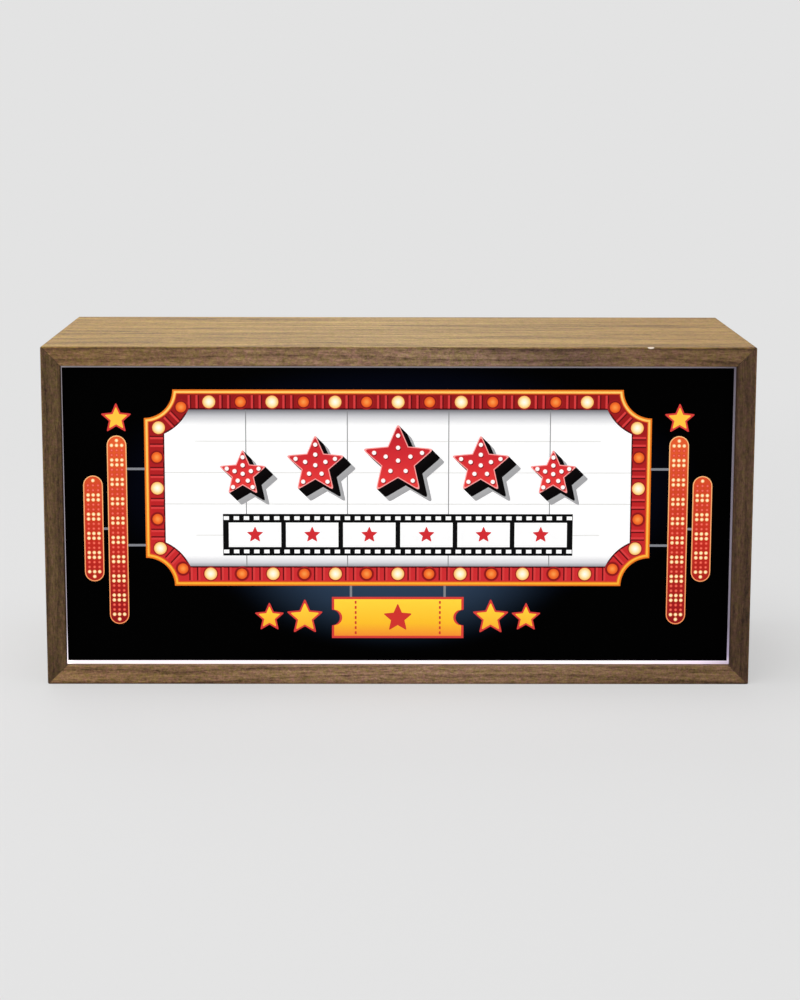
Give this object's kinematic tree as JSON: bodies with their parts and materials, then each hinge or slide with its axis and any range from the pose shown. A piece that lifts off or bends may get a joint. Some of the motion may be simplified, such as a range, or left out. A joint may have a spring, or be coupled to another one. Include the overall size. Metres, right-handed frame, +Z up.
{
  "type": "cinema light box",
  "caption": "Desk cinema light box: mitred wooden case, back-lit printed front, sliding battery cover, rocker switch and round power inlet in the recessed back.",
  "frame": {"origin": "on the surface the box stands on, under the middle of the case", "axes": "+X along the box's width, +Y from the printed front to the back, +Z up"},
  "size_m": [0.21, 0.09, 0.1015],
  "materials": {
    "walnut": "satin-lacquered walnut, grain along each board",
    "pine": "sawn softwood",
    "opal_sheet": "opal acrylic, satin face",
    "printed_film": "printed back-lit film, semi-gloss",
    "white_board": "foamed white sheet",
    "hardboard": "stained thin fibreboard",
    "screw_steel": "zinc plated",
    "strip_white": "white solder mask",
    "lamp_phosphor": "silicone over phosphor",
    "resistor_black": "matt",
    "lead_red": "smooth insulation",
    "lead_black": "smooth insulation",
    "black_plastic": "fine spark-eroded texture",
    "black_gloss": "polished",
    "natural_plastic": "natural acetal",
    "cell_jacket": "plain printed jacket",
    "plated_steel": "nickel plated",
    "contact_brass": "rolled"
  },
  "bodies": {
    "case": {"bottom_board": "walnut", "top_board": "walnut", "left_board": "walnut", "right_board": "walnut", "corner_blocks": "pine", "diffuser": "opal_sheet", "printed_film": "printed_film", "reflector_board": "white_board", "back_panel": "hardboard", "back_screws": "screw_steel", "reflector_screws": "screw_steel", "led_strip_1": "strip_white", "led_strip_2": "strip_white", "led_strip_3": "strip_white", "led_lamps": "lamp_phosphor", "strip_resistors": "resistor_black", "jumpers_red": "lead_red", "jumpers_black": "lead_black", "battery_tub": "black_plastic", "cell_1": "cell_jacket", "cell_2": "cell_jacket", "cell_3": "cell_jacket", "contact_plates": "plated_steel", "contact_springs": "plated_steel", "switch_housing": "black_plastic", "switch_terminals": "contact_brass", "inlet_body": "black_plastic", "inlet_pin": "plated_steel", "inlet_tags": "contact_brass", "inlet_nut": "plated_steel", "lead_battery_plus": "lead_red", "lead_battery_minus": "lead_black", "lead_switched_plus": "lead_red", "lead_supply_minus": "lead_black", "lead_supply_plus": "lead_red"},
    "cover": {"battery_cover": "black_plastic"},
    "rocker": {"switch_rocker": "black_gloss", "switch_plunger": "natural_plastic", "switch_spring": "plated_steel"},
    "contact": {"switch_contact": "contact_brass"}
  },
  "joints": [
    {"name": "cover_slide", "type": "slide", "parent": "case", "child": "cover", "axis": [1, 0, 0], "range_m": [0, 0.064]},
    {"name": "rocker_tilt", "type": "hinge", "parent": "case", "child": "rocker", "pos_m": [0.075, 0.0409, 0.064], "axis": [-1, 0, 0], "range_deg": [0, 20]},
    {"name": "contact_tilt", "type": "hinge", "parent": "case", "child": "contact", "pos_m": [0.075, 0.0342, 0.064], "axis": [-1, 0, 0], "range_deg": [-16, 0]}
  ],
  "couplings": [
    {"joint": "contact_tilt", "follows": "rocker_tilt", "ratio": -0.8}
  ]
}
